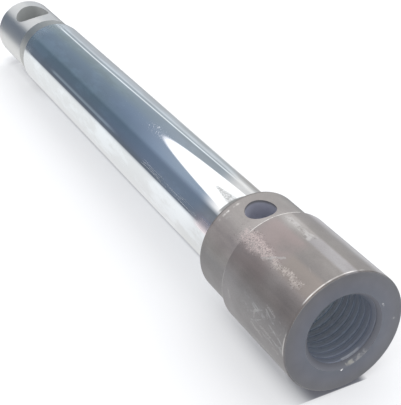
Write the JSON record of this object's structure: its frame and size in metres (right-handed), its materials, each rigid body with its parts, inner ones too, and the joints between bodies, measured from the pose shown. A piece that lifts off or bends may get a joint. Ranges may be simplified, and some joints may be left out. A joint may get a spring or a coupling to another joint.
{
  "type": "piston rod",
  "caption": "Hard-chromed pump piston rod with a cross-drilled drive neck and a thicker head that has a threaded valve bore and a cross port.",
  "frame": {"origin": "centre of the head's end face, which the rod stands on", "axes": "+Z along the rod from the head to the neck, -Y out of the front mouths of both cross holes"},
  "size_m": [0.022, 0.022, 0.147],
  "materials": {
    "chromed_steel": "mirror hard chrome on the shaft, oxidised turned steel on the head, bare ground steel on the neck"
  },
  "bodies": {
    "root": {"piston_rod": "chromed_steel"}
  },
  "joints": []
}
